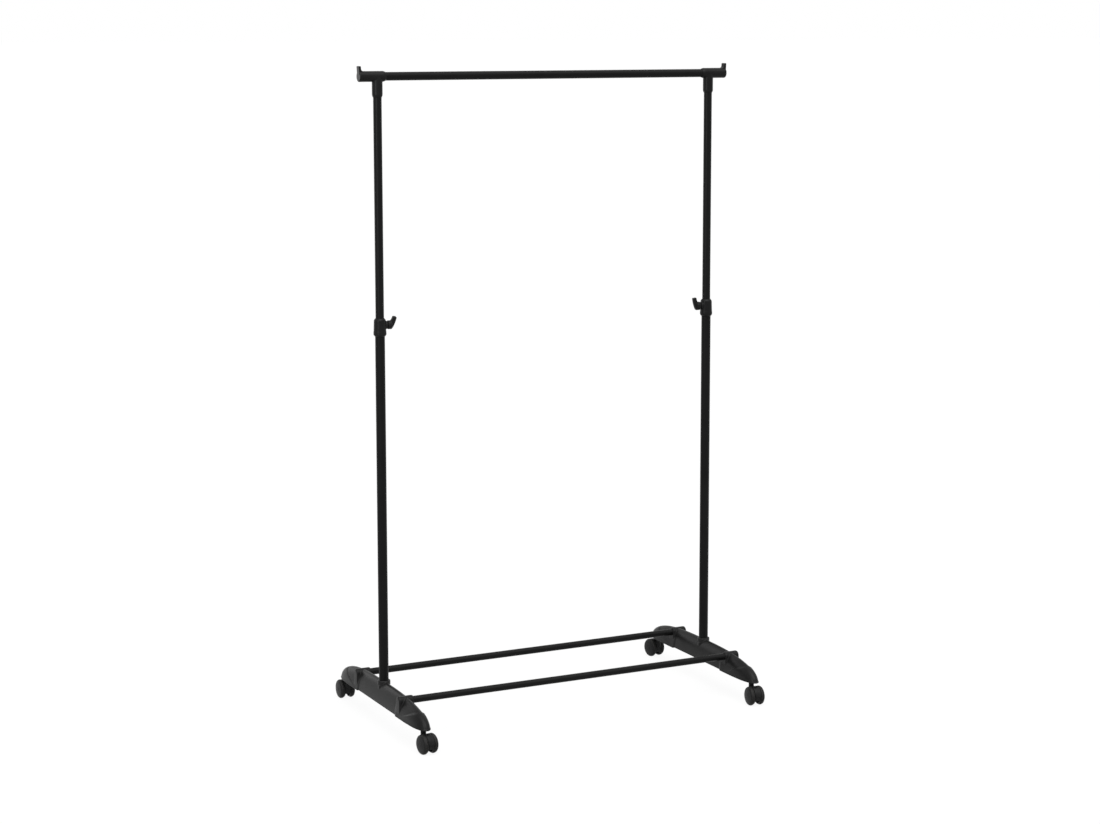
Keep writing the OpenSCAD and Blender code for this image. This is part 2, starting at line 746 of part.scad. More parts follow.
module stem_front_left() { color(zinc_color) on_caster(-1, -1, swivel_front_left) stem(); }
module stem_front_right() { color(zinc_color) on_caster(1, -1, swivel_front_right) stem(); }
module stem_back_left() { color(zinc_color) on_caster(-1, 1, swivel_back_left) stem(); }
module stem_back_right() { color(zinc_color) on_caster(1, 1, swivel_back_right) stem(); }

module grip_ring_front_left() { color(zinc_color) on_caster(-1, -1, swivel_front_left) grip_ring(); }
module grip_ring_front_right() { color(zinc_color) on_caster(1, -1, swivel_front_right) grip_ring(); }
module grip_ring_back_left() { color(zinc_color) on_caster(-1, 1, swivel_back_left) grip_ring(); }
module grip_ring_back_right() { color(zinc_color) on_caster(1, 1, swivel_back_right) grip_ring(); }

module hood_front_left() { color(caster_color) on_caster(-1, -1, swivel_front_left) hood(); }
module hood_front_right() { color(caster_color) on_caster(1, -1, swivel_front_right) hood(); }
module hood_back_left() { color(caster_color) on_caster(-1, 1, swivel_back_left) hood(); }
module hood_back_right() { color(caster_color) on_caster(1, 1, swivel_back_right) hood(); }

module axle_front_left() { color(zinc_color) on_caster(-1, -1, swivel_front_left) axle(); }
module axle_front_right() { color(zinc_color) on_caster(1, -1, swivel_front_right) axle(); }
module axle_back_left() { color(zinc_color) on_caster(-1, 1, swivel_back_left) axle(); }
module axle_back_right() { color(zinc_color) on_caster(1, 1, swivel_back_right) axle(); }

// A front caster is turned half round, so its outer wheel is on the other side as drawn
module outer_wheel_front_left() { color(caster_color) on_caster(-1, -1, swivel_front_left) wheel(1); }
module outer_wheel_front_right() { color(caster_color) on_caster(1, -1, swivel_front_right) wheel(-1); }
module outer_wheel_back_left() { color(caster_color) on_caster(-1, 1, swivel_back_left) wheel(-1); }
module outer_wheel_back_right() { color(caster_color) on_caster(1, 1, swivel_back_right) wheel(1); }
module inner_wheel_front_left() { color(caster_color) on_caster(-1, -1, swivel_front_left) wheel(-1); }
module inner_wheel_front_right() { color(caster_color) on_caster(1, -1, swivel_front_right) wheel(1); }
module inner_wheel_back_left() { color(caster_color) on_caster(-1, 1, swivel_back_left) wheel(1); }
module inner_wheel_back_right() { color(caster_color) on_caster(1, 1, swivel_back_right) wheel(-1); }

leg_left();
leg_right();
base_rail_front();
base_rail_back();
lower_post_left();
lower_post_right();
post_plug_left();
post_plug_right();
post_bolts();
rail_screws();
clamp_collar_left();
clamp_collar_right();
clamp_nuts();
clamp_knob_left();
clamp_knob_right();
clamp_screw_left();
clamp_screw_right();
upper_post_left();
upper_post_right();
glide_bush_left();
glide_bush_right();
hanging_rail();
tee_left();
tee_right();
caster_socket_front_left();
caster_socket_front_right();
caster_socket_back_left();
caster_socket_back_right();
stem_front_left();
stem_front_right();
stem_back_left();
stem_back_right();
grip_ring_front_left();
grip_ring_front_right();
grip_ring_back_left();
grip_ring_back_right();
hood_front_left();
hood_front_right();
hood_back_left();
hood_back_right();
axle_front_left();
axle_front_right();
axle_back_left();
axle_back_right();
outer_wheel_front_left();
outer_wheel_front_right();
outer_wheel_back_left();
outer_wheel_back_right();
inner_wheel_front_left();
inner_wheel_front_right();
inner_wheel_back_left();
inner_wheel_back_right();
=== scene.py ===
import bpy, bmesh, json, math
import numpy as np
from mathutils import Matrix, Vector

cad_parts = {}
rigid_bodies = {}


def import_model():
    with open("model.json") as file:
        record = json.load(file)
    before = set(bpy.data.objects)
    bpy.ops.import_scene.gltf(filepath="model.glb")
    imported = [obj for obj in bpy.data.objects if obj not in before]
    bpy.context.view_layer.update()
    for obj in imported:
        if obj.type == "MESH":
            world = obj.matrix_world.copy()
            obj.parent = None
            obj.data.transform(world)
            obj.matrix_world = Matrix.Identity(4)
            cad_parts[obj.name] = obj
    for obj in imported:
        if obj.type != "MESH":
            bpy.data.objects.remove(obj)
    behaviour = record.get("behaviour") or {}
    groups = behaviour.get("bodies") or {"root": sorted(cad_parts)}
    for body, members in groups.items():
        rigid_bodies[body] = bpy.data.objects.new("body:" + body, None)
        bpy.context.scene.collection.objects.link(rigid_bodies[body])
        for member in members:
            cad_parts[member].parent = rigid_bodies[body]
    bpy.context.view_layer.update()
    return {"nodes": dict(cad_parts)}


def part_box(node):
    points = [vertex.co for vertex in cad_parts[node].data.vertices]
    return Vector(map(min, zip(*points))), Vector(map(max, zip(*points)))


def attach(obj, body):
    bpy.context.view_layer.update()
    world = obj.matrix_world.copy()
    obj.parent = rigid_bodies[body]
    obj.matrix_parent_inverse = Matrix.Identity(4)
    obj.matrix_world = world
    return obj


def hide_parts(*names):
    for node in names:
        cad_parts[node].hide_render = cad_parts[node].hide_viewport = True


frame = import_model()
nodes = frame["nodes"]
mm = 0.001
clearance = 0.05  # between a moulded hole and the steel tube in it, in millimetres
overrun = 5  # how far a cutting shape runs on past what it cuts


# where the frame puts things, in millimetres

def lowOf(name):
    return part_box(name)[0] / mm


def highOf(name):
    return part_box(name)[1] / mm


def centreOf(name):
    return (lowOf(name) + highOf(name)) / 2


def radiusOf(name, axis):
    return (highOf(name)[axis] - lowOf(name)[axis]) / 2


postX = centreOf("lower_post_right").x
lowerPostR = radiusOf("lower_post_right", 0)
upperPostR = radiusOf("upper_post_right", 0)
hangingRailZ = centreOf("hanging_rail").z
hangingRailR = radiusOf("hanging_rail", 2)
baseRailY = centreOf("base_rail_back").y
baseRailZ = centreOf("base_rail_back").z
baseRailR = radiusOf("base_rail_back", 2)
clampZ = centreOf("clamp_screw_right").z
wheelR = radiusOf("outer_wheel_back_left", 2)
stemY = centreOf("stem_back_left").y
corners = [end + "_" + side for end in ("front", "back") for side in ("left", "right")]


# mesh tools; shapes are drawn in millimetres and turned to metres when a piece is done

def meshObject(name, points, faces, smooth=True):
    mesh = bpy.data.meshes.new(name)
    mesh.from_pydata([tuple(p) for p in points], [], [tuple(f) for f in faces])
    mesh.polygons.foreach_set("use_smooth", [smooth] * len(mesh.polygons))
    made = bpy.data.objects.new(name, mesh)
    bpy.context.scene.collection.objects.link(made)
    return made


def cleaned(thing):
    work = bmesh.new()
    work.from_mesh(thing.data)
    bmesh.ops.remove_doubles(work, verts=work.verts, dist=1e-5)
    bmesh.ops.dissolve_degenerate(work, edges=work.edges, dist=1e-6)
    bmesh.ops.recalc_face_normals(work, faces=work.faces)
    work.to_mesh(thing.data)
    work.free()
    return thing


def arc(cx, cy, radius, start, end, count=9):
    angles = np.radians(np.linspace(start, end, count))
    return [(cx + radius * math.cos(a), cy + radius * math.sin(a)) for a in angles]


def lathe(profile, axis="Z", steps=72):
    # profile holds (radius, place along the axis) from one end of the axis to the other
    points, rings = [], []
    for radius, place in profile:
        count = 1 if radius < 1e-6 else steps
        rings.append(range(len(points), len(points) + count))
        turns = [2 * math.pi * i / steps for i in range(count)]
        points += [(radius * math.cos(t), radius * math.sin(t), place) for t in turns]
    faces = []
    for low, high in zip(rings, rings[1:]):
        for i in range(steps):
            j = (i + 1) % steps
            face = [low[i % len(low)], low[j % len(low)], high[j % len(high)], high[i % len(high)]]
            face = list(dict.fromkeys(face))
            if len(face) > 2:
                faces.append(face)
    made = meshObject("lathe", points, faces)
    if axis == "X":
        made.data.transform(Matrix.Rotation(math.radians(90), 4, "Y"))
    return cleaned(made)


def slab(outline, axis, low, high):
    # a flat outline with a thickness along an axis
    order = {"X": (2, 0, 1), "Y": (0, 2, 1), "Z": (0, 1, 2)}[axis]
    points = [[(u, v, w)[k] for k in order] for w in (low, high) for u, v in outline]
    n = len(outline)
    faces = [range(n), range(2 * n - 1, n - 1, -1)]
    faces += [(i, i + n, (i + 1) % n + n, (i + 1) % n) for i in range(n)]
    return cleaned(meshObject("slab", points, faces, smooth=False))


def rod(radius, low, high, axis="Z", at=(0, 0, 0), steps=72):
    made = lathe([(0, low), (radius, low), (radius, high), (0, high)], axis, steps)
    made.data.transform(Matrix.Translation(at))
    return made


def block(low, high):
    (x0, y0, z0), (x1, y1, z1) = low, high
    return slab([(x0, y0), (x1, y0), (x1, y1), (x0, y1)], "Z", z0, z1)


def applied(thing):
    graph = bpy.context.evaluated_depsgraph_get()
    graph.update()
    made = bpy.data.meshes.new_from_object(thing.evaluated_get(graph))
    thing.modifiers.clear()
    thing.data = made
    return thing


def bevelled(thing, width, segments=4):
    rounding = thing.modifiers.new("rounding", "BEVEL")
    rounding.width = width
    rounding.segments = segments
    rounding.limit_method = "ANGLE"
    rounding.angle_limit = math.radians(50)
    return applied(thing)


def moulded(name, parts, voxel, rounds):
    # overlapping solids melted into one moulding with filleted corners
    work = bmesh.new()
    for part in parts:
        work.from_mesh(part.data)
        bpy.data.objects.remove(part)
    mesh = bpy.data.meshes.new(name)
    work.to_mesh(mesh)
    work.free()
    made = bpy.data.objects.new(name, mesh)
    bpy.context.scene.collection.objects.link(made)
    skin = made.modifiers.new("skin", "REMESH")
    skin.mode = "VOXEL"
    skin.voxel_size = voxel
    skin.use_smooth_shade = True
    fillet = made.modifiers.new("fillet", "SMOOTH")
    fillet.factor = 0.5
    fillet.iterations = rounds
    return applied(made)


def cut(thing, tools):
    for tool in tools:
        work = thing.modifiers.new("cut", "BOOLEAN")
        work.operation = "DIFFERENCE"
        work.solver = "MANIFOLD"
        work.object = tool
        applied(thing)
        bpy.data.objects.remove(tool)
    return thing


def finished(thing, sharpAngle=38):
    # metres, with smooth faces and crisp cut edges
    thing.data.transform(Matrix.Scale(mm, 4))
    thing.data.polygons.foreach_set("use_smooth", [True] * len(thing.data.polygons))
    thing.data.set_sharp_from_angle(angle=math.radians(sharpAngle))
    return thing


def mirrored(thing, name):
    made = bpy.data.objects.new(name, thing.data.copy())
    made.data.name = name
    made.data.transform(Matrix.Scale(-1, 4, (1, 0, 0)))
    made.data.flip_normals()
    bpy.context.scene.collection.objects.link(made)
    return made


def stands(piece, body, node):
    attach(piece, body)
    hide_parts(node)


def smoothStep(x, low, high):
    t = min(1.0, max(0.0, (x - low) / (high - low)))
    return t * t * (3 - 2 * t)


# legs: a hollow arched moulding with a socket for the post, two bosses for the base rails and a cup
# over each caster. Drawn round its own post, with +X away from the rack's middle.

leg = {
    "halfWidth": 19.0, "flare": 1.3, "ridge": 49.5, "wall": 2.6,
    "archAlong": 2.95, "archDown": 2.4, "planPower": 9, "lean": 7.5,
    "step": 2.0, "stepAt": 113.0, "stepSlope": 4.0,
    "lipFlare": 1.3, "lipBand": 4.5, "lipPower": 9, "lipTrim": 0.01, "skirt": 0.2,
    "bodyPower": 1.8, "scoopPower": 1.68, "cupPower": 2.25,
    "creaseStart": (150, 11), "creaseEnd": (215, 31), "creaseWidth": 3.2,
    "bossR": 11.0, "bossOut": 19.5, "bossIn": 17.5, "bossRound": 3.0, "bossEnd": 2.5,
    "socketR": 13.6, "socketFoot": 8.0, "socketSink": 2.0, "coreFoot": 5.0, "postFoot": 9.3,
    "rimR": 15.0, "rimHeight": 11.5, "rimRound": 2.0, "rimEdge": 0.6, "polishedPast": (0.5, 0.4),
    "stemSocketR": 6.45, "stemSocketTop": 15.1, "stemBossR": 8.8, "stemBossFoot": 1.2,
    "ribs": (38, 74, 160, 196), "ribThick": 1.8, "ribFoot": 6.0,
    "rings": 361, "lastRing": 88.5, "ringSteps": 61, "voxel": 1.0, "filletRounds": 8,
}
legLip = lowOf("leg_right").z
legTop = highOf("leg_right").z
legHalf = highOf("leg_right").y


def legPoint(share, turn, inset):
    # share runs from tip to tip, turn from the outer lip over the ridge to the inner lip
    half = legHalf - inset
    far = abs(share) * half
    c, s = math.cos(math.radians(turn)), math.sin(math.radians(turn))
    atEnds = smoothStep(far, leg["stepAt"] - leg["stepSlope"], leg["stepAt"] + leg["stepSlope"])
    pastBoss = smoothStep(far, baseRailY - leg["bossR"], baseRailY + leg["bossR"])
    width = leg["halfWidth"] + leg["flare"] * atEnds - inset
    width *= math.sqrt(1 - abs(share) ** leg["planPower"])
    height = (leg["ridge"] - inset) * (1 - abs(share) ** leg["archAlong"]) ** (1 / leg["archDown"])

    def section(power):
        return np.array([width * math.copysign(abs(c) ** (2 / power), c), height * s ** (2 / power)])

    # past each boss the flanks are scooped out above a crease that rises to the ridge
    body = section(leg["bodyPower"] + (leg["scoopPower"] - leg["bodyPower"]) * pastBoss)
    cup = section(leg["cupPower"])
    (y0, z0), (y1, z1) = leg["creaseStart"], leg["creaseEnd"]
    crease = z0 + (far - y0) * (z1 - z0) / (y1 - y0)
    inCup = pastBoss * smoothStep(crease - cup[1], -leg["creaseWidth"], leg["creaseWidth"])
    x, z = body + (cup - body) * inCup
    # the walls of the tips lean in from their feet to the ridge, and their lip flares
    y = share * (half - leg["lean"] * (1 - (1 - z / leg["ridge"]) ** 2))
    if inset == 0:
        flare = leg["lipFlare"] * atEnds * (1 - smoothStep(z, 0, leg["lipBand"]))
        x += flare * x / leg["halfWidth"]
        y += flare * share ** leg["lipPower"]
    return (x, y, legLip + z)


def legSolid(inset, drop):
    last = leg["lastRing"]
    shares = [math.sin(math.radians(a)) for a in np.linspace(-last, last, leg["rings"])]
    turns = np.linspace(0, 180, leg["ringSteps"])
    points, faces = [], []
    for share in shares:
        ring = [legPoint(share, turn, inset) for turn in turns]
        points += ring
        points += [(ring[-1][0], ring[-1][1], legLip - drop), (ring[0][0], ring[0][1], legLip - drop)]
    n = len(turns) + 2
    for i in range(len(shares) - 1):
        for j in range(n):
            k = (j + 1) % n
            faces.append([i * n + j, i * n + k, (i + 1) * n + k, (i + 1) * n + j])
    faces.append(range(n))
    faces.append(range(len(shares) * n - 1, (len(shares) - 1) * n - 1, -1))
    return cleaned(meshObject("legSolid", points, faces))


def railBoss(end):
    radius = leg["bossR"]
    foot = legLip + leg["step"]
    outline = [(end * baseRailY - radius, foot)]
    outline += arc(end * baseRailY, baseRailZ, radius, 180, 0, 33)
    outline += [(end * baseRailY + radius, foot)]
    return bevelled(slab(outline, "X", -leg["bossIn"], leg["bossOut"]), leg["bossRound"], 5)


def makeLeg():
    rim, soft, edge = leg["rimR"], leg["rimRound"], leg["rimEdge"]
    foot = legTop - leg["rimHeight"]
    ring = [(0, foot), (rim - edge, foot), (rim, foot + edge)]
    ring += arc(rim - soft, legTop - soft, soft, 0, 90, 7) + [(0, legTop)]
    socket = rod(leg["socketR"], legLip + leg["socketFoot"], legTop - leg["socketSink"])
    parts = [legSolid(0, leg["skirt"]), socket, lathe(ring)]
    parts += [railBoss(end) for end in (-1, 1)]
    made = moulded("legMoulding", parts, leg["voxel"], leg["filletRounds"])

    # under the skin the sockets, the bosses and a few ribs are left standing
    ridge = legLip + leg["ridge"] + overrun
    wide = leg["halfWidth"] + 2 * overrun
    kept = [rod(leg["socketR"], legLip + leg["coreFoot"], ridge)]
    for end in (-1, 1):
        kept += [rod(leg["bossR"], -wide, wide, "X", (0, end * baseRailY, baseRailZ))]
        kept += [rod(leg["stemBossR"], legLip + leg["stemBossFoot"], ridge, at=(0, end * stemY, 0))]
        for place in leg["ribs"]:
            y, half = end * place, leg["ribThick"] / 2
            kept += [block((-wide, y - half, legLip + leg["ribFoot"]), (wide, y + half, ridge))]
    hollow = cut(legSolid(leg["wall"], overrun), kept)

    # the underside is raised between the tips
    tip, slope = leg["stepAt"] + leg["stepSlope"], leg["stepAt"] - leg["stepSlope"]
    under, lip, raised = legLip - overrun, legLip - leg["lipTrim"], legLip + leg["step"]
    underside = [(-tip, under), (tip, under), (tip, lip), (slope, raised), (-slope, raised), (-tip, lip)]
    tools = [hollow, slab(underside, "X", -wide, wide)]
    tools += [rod(lowerPostR + clearance, legLip + leg["postFoot"], legTop + overrun)]
    for end in (-1, 1):
        tools += [rod(baseRailR + clearance, -leg["bossIn"] - overrun, leg["bossOut"] - leg["bossEnd"], "X",
                      (0, end * baseRailY, baseRailZ))]
        tools += [rod(leg["stemSocketR"], under, legLip + leg["stemSocketTop"], at=(0, end * stemY, 0))]
    cut(made, tools)
    made.data.transform(Matrix.Translation((postX, 0, 0)))
    return finished(made)


legRight = makeLeg()
legRight.name = "leg_moulding_right"
legLeft = mirrored(legRight, "leg_moulding_left")
stands(legRight, "base", "leg_right")
stands(legLeft, "base", "leg_left")
print("legs:", len(legRight.data.polygons), "faces each")


# tees: a sleeve that runs on as a peg with a hook, and a sleeve down over the upper post.
# Drawn round the right-hand post.

tee = {
    "sleeveR": 11.9, "inner": 19.0, "slope": 4.5, "shoulder": (0.4, 0.7, 0.6), "lip": 0.6, "edge": 1.4,
    "pegWall": 4.0, "hookWidth": 15.5, "hookThick": 5.2, "hookRound": 1.8, "hookEdge": 0.8,
    "hookLean": 1.2, "filletR": 5.0, "filletSink": 0.5, "filletLean": 0.7,
    "voxel": 0.7, "filletRounds": 4,
}
teeFoot = lowOf("tee_right").z
teeOuter = highOf("tee_right").x - postX
hookTop = highOf("tee_right").z


def makeTee():
    r, edge, lip = tee["sleeveR"], tee["edge"], tee["lip"]
    inset, before, after = tee["shoulder"]
    slopeX, slopeZ = tee["slope"] - tee["inner"], teeFoot + tee["slope"]
    along = [(0, -tee["inner"]), (hangingRailR + lip, -tee["inner"]),
             (r - inset, slopeX - before), (r, slopeX + after)]
    along += arc(r - edge, teeOuter - edge, edge, 0, 90, 6) + [(0, teeOuter)]
    down = [(0, teeFoot), (upperPostR + lip, teeFoot), (r - inset, slopeZ - before),
            (r, slopeZ + after), (r, hangingRailZ), (0, hangingRailZ)]
    peg = lathe(along, "X")
    peg.data.transform(Matrix.Translation((0, 0, hangingRailZ)))

    # a tab with round corners that leans out towards its top
    half, x, corner = tee["hookWidth"] / 2, teeOuter - tee["hookThick"], tee["hookRound"]
    tab = [(-half, hangingRailZ)] + arc(corner - half, hookTop - corner, corner, 180, 90, 7)
    tab += arc(half - corner, hookTop - corner, corner, 90, 0, 7) + [(half, hangingRailZ)]
    hook = bevelled(slab(tab, "X", x, teeOuter), tee["hookEdge"], 3)
    for vertex in hook.data.vertices:
        vertex.co.x += tee["hookLean"] * smoothStep(vertex.co.z, hangingRailZ, hookTop - corner)

    # a hollow fillet between the tab and the top of the peg
    reach, sink, pegTop = tee["filletR"], tee["filletSink"], hangingRailZ + r
    x += tee["hookLean"] * tee["filletLean"]
    hollow = [(x + sink, hangingRailZ), (x + sink, pegTop + reach)]
    hollow += arc(x - reach, pegTop + reach, reach, 0, -90, 9) + [(x - reach, hangingRailZ)]
    fillet = slab(hollow, "Y", sink - half, half - sink)
    made = moulded("teeMoulding", [peg, lathe(down), hook, fillet], tee["voxel"], tee["filletRounds"])
    tools = [rod(hangingRailR + clearance, -tee["inner"] - overrun, teeOuter - tee["pegWall"], "X",
                 (0, 0, hangingRailZ)),
             rod(upperPostR + clearance, teeFoot - overrun, hangingRailZ)]
    cut(made, tools)
    made.data.transform(Matrix.Translation((postX, 0, 0)))
    return finished(made)


teeRight = makeTee()
teeRight.name = "tee_moulding_right"
teeLeft = mirrored(teeRight, "tee_moulding_left")
stands(teeRight, "upper_frame", "tee_right")
stands(teeLeft, "upper_frame", "tee_left")
print("tees:", len(teeRight.data.polygons), "faces each")


# height clamps: a tapered collar with a boss for the screw, on the side of the rack's middle

collar = {
    "footR": 14.7, "topR": 13.5, "bevel": 4.0, "lip": 0.6, "guide": 6.0, "guideGap": 0.08,
    "footTurn": (0.5, 0.8), "topTurn": (1.0, 0.7, 0.6),
    "bandRise": 11.0, "bandDeep": 0.45, "bandTaper": 0.1, "bandEdge": 0.5,
    "screwBossR": 9.2, "screwBossEdge": 0.7, "screwHoleR": 3.5,
    "voxel": 0.6, "filletRounds": 4,
}
collarFoot = lowOf("clamp_collar_right").z
collarTop = highOf("clamp_collar_right").z
screwBossEnd = postX - lowOf("clamp_collar_right").x


def makeCollar():
    lip, footR, topR = collar["lip"], collar["footR"], collar["topR"]
    band = collarFoot + collar["bandRise"]
    lower, upper = collarFoot + collar["bevel"], collarTop - collar["bevel"]
    inset, soft = collar["footTurn"]
    before, topInset, after = collar["topTurn"]
    wall = [(0, collarFoot), (lowerPostR + lip, collarFoot), (footR - inset, lower - soft),
            (footR, lower + soft), (footR - collar["bandTaper"], band),
            (footR - collar["bandDeep"], band + collar["bandEdge"]), (topR, upper - before),
            (topR - topInset, upper + after), (upperPostR + lip, collarTop), (0, collarTop)]
    boss = bevelled(rod(collar["screwBossR"], -screwBossEnd, 0, "X", (0, 0, clampZ)),
                    collar["screwBossEdge"], 3)
    made = moulded("collarMoulding", [lathe(wall), boss], collar["voxel"], collar["filletRounds"])
    tools = [rod(lowerPostR + clearance, collarFoot - overrun, collarTop - collar["guide"]),
             rod(upperPostR + collar["guideGap"], collarFoot, collarTop + overrun),
             rod(collar["screwHoleR"], -screwBossEnd - overrun, 0, "X", (0, 0, clampZ))]
    cut(made, tools)
    made.data.transform(Matrix.Translation((postX, 0, 0)))
    return finished(made)


collarRight = makeCollar()
collarRight.name = "collar_moulding_right"
collarLeft = mirrored(collarRight, "collar_moulding_left")
stands(collarRight, "base", "clamp_collar_right")
stands(collarLeft, "base", "clamp_collar_left")
print("collars:", len(collarRight.data.polygons), "faces each")


# wing knobs, drawn with the screw along +X and the hub's inner face at the origin

knob = {
    "hubR": 10.0, "hubLength": 10.5, "hubRound": 2.5, "hubEdge": 1.5,
    "wingUp": 20.5, "wingOut": 9.0, "tipWidth": 8.6, "wingThick": 8.5, "wingRound": 1.3,
    "wingFoot": 0.3, "wingHeel": 0.5, "wingSink": (0.5, 0.8, 0.6), "tipDrop": 1.2,
    "outerBend": 2.2, "innerBend": 1.8,
    "standOff": 1.0, "boreR": 3.05, "boreDeep": 6.0, "turnLeft": 20.0,
    "voxel": 0.45, "filletRounds": 4,
}


def curve(a, b, c, count=14):
    # points on a curve from a to c that bends towards b
    shares = np.linspace(0, 1, count)
    return [tuple((1 - t) ** 2 * np.array(a) + 2 * t * (1 - t) * np.array(b) + t * t * np.array(c))
            for t in shares]


def makeKnob():
    r, length, soft, edge = knob["hubR"], knob["hubLength"], knob["hubRound"], knob["hubEdge"]
    hub = [(0, 0), (r - edge, 0), (r, edge)]
    hub += arc(r - soft, length - soft, soft, 0, 90, 6) + [(0, length)]
    tip, up = length + knob["wingOut"], knob["wingUp"]
    back, foot = tip - knob["tipWidth"], length * knob["wingFoot"]
    below, within, above = knob["wingSink"]
    wing = [(foot, below - r)]
    wing += curve((length, -r), (tip - knob["outerBend"], 0), (tip, up - knob["tipDrop"]))
    wing += curve((back, up), (back - knob["innerBend"], r - within), (length * knob["wingHeel"], r - above))
    wing += [(foot, r - above)]
    half = knob["wingThick"] / 2
    blade = bevelled(slab(wing, "Y", -half, half), knob["wingRound"], 3)
    made = moulded("knobMoulding", [lathe(hub, "X"), blade], knob["voxel"], knob["filletRounds"])
    cut(made, [rod(knob["boreR"], -overrun, knob["boreDeep"], "X")])
    return finished(made)


def placeKnob(side, turn):
    made = bpy.data.objects.new("knob_moulding_" + side, knobMoulding.data.copy())
    bpy.context.scene.collection.objects.link(made)
    away = postX - screwBossEnd - knob["standOff"]
    place = Matrix.Translation((away * mm, 0, clampZ * mm)) @ Matrix.Rotation(math.radians(turn), 4, "X")
    made.data.transform(place @ Matrix.Scale(-1, 4, (1, 0, 0)))
    made.data.flip_normals()
    if side == "left":
        made.data.transform(Matrix.Scale(-1, 4, (1, 0, 0)))
        made.data.flip_normals()
    stands(made, "knob_" + side, "clamp_knob_" + side)
    return made


knobMoulding = makeKnob()
knobRight = placeKnob("right", 0)
knobLeft = placeKnob("left", knob["turnLeft"])
bpy.data.objects.remove(knobMoulding)
print("knobs:", len(knobRight.data.polygons), "faces each")


# casters: a hood and two wheels, drawn with the stem's axis at the origin and the axle towards +Y.
# Each shape is made once and shared by all the corners.

hood = {
    "webR": 20.25, "webThick": 11.8, "webClear": 13.0,
    "canopyThick": 1.5, "canopyFoot": 2.0, "canopyWidth": 15.2, "canopyEdge": (0.4, 0.5),
    "neckR": 6.3, "neckGap": 0.3, "neckEdge": 0.5, "neckFoot": 4.0, "neckFull": 16.0,
    "stemR": 4.05, "stemFoot": 6.0, "axleR": 3.05, "steps": 96, "voxel": 0.5, "filletRounds": 4,
}
wheel = {
    "width": 13.0, "gap": 12.8, "stepR": 20.25, "stepEdge": 0.4, "treadWidth": 11.3, "treadRound": 3.0,
    "round": 6.0, "faceInset": 5.4, "crown": 1.3, "rim": 2.6, "cover": 2.4, "hubR": 6.0, "boreR": 3.08,
    "capR": 5.4, "capRise": 0.1, "capCrown": 0.25, "groove": (0.5, 0.2, -0.3, -0.6), "grooveDeep": 0.45,
    "steps": 96, "sharpAngle": 32,
}
trail = (centreOf("axle_back_left") - centreOf("stem_back_left")).xy.length
stemTop = legLip - hood["neckGap"]


def makeHood():
    radius, width, axle = wheelR, hood["canopyWidth"] / 2, (0, trail, wheelR)
    slim, wide = hood["webThick"] / 2, 2 * wheelR
    web = rod(hood["webR"], -slim, slim, "X", axle, hood["steps"])
    inner = radius - hood["canopyThick"]
    inset, edge = hood["canopyEdge"]
    skin = [(inner, -width), (radius - inset, -width), (radius, edge - width),
            (radius, width - edge), (radius - inset, width), (inner, width), (inner, -width)]
    canopy = lathe(skin, "X", hood["steps"])
    canopy.data.transform(Matrix.Translation(axle))
    cut(canopy, [block((-wide, trail - wide, -wide), (wide, trail + wide, wheelR + hood["canopyFoot"]))])
    # the neck round the stem starts between the wheels and stands up through the canopy
    foot, full, soft = wheelR + hood["neckFoot"], wheelR + hood["neckFull"], hood["neckEdge"]
    neck = lathe([(0, foot), (slim, foot), (slim, full), (hood["neckR"], full),
                  (hood["neckR"], stemTop - soft), (hood["neckR"] - soft, stemTop), (0, stemTop)])
    made = moulded("hoodMoulding", [web, canopy, neck], hood["voxel"], hood["filletRounds"])
    tools = [rod(hood["stemR"], wheelR + hood["stemFoot"], stemTop + overrun),
             rod(hood["axleR"], -wide, wide, "X", axle),
             block((-wide, trail - wide, -wide), (wide, trail + wide, hood["webClear"]))]
    cut(made, tools)
    return finished(made)


def makeWheel():
    # crowned on its outer face, which looks along +X, and hollow towards the hood's web
    w, r, stepR, edge = wheel["width"], wheelR, wheel["stepR"], wheel["stepEdge"]
    inner, tread, rimR = w - wheel["cover"], w - wheel["treadWidth"], stepR - wheel["rim"]
    soft, bend, crown, face = wheel["treadRound"], wheel["round"], wheel["crown"], r - wheel["faceInset"]
    profile = [(0, inner), (wheel["boreR"], inner), (wheel["boreR"], 0), (wheel["hubR"], 0),
               (wheel["hubR"], inner), (rimR, inner), (rimR, 0), (stepR - edge, 0), (stepR, edge),
               (stepR, tread)]
    profile += arc(r - soft, tread + soft, soft, -90, 0, 7)
    profile += arc(r - bend, w - crown - bend, bend, 0, 80, 15)
    # a cap over the end of the axle, inside a fine groove
    cap, deep = wheel["capR"], wheel["grooveDeep"]
    groove = [cap + offset for offset in wheel["groove"]]
    profile += [(d, w - crown * (d / face) ** 2) for d in np.linspace(face, groove[0], 12)]
    profile += [(groove[1], w - deep), (groove[2], w - deep)]
    profile += [(d, w + wheel["capRise"] - wheel["capCrown"] * (d / cap) ** 2)
                for d in np.linspace(groove[3], 0, 4)]
    made = lathe(profile, "X", wheel["steps"])
    made.data.transform(Matrix.Translation((wheel["gap"] / 2, 0, 0)))
    return finished(made, wheel["sharpAngle"])


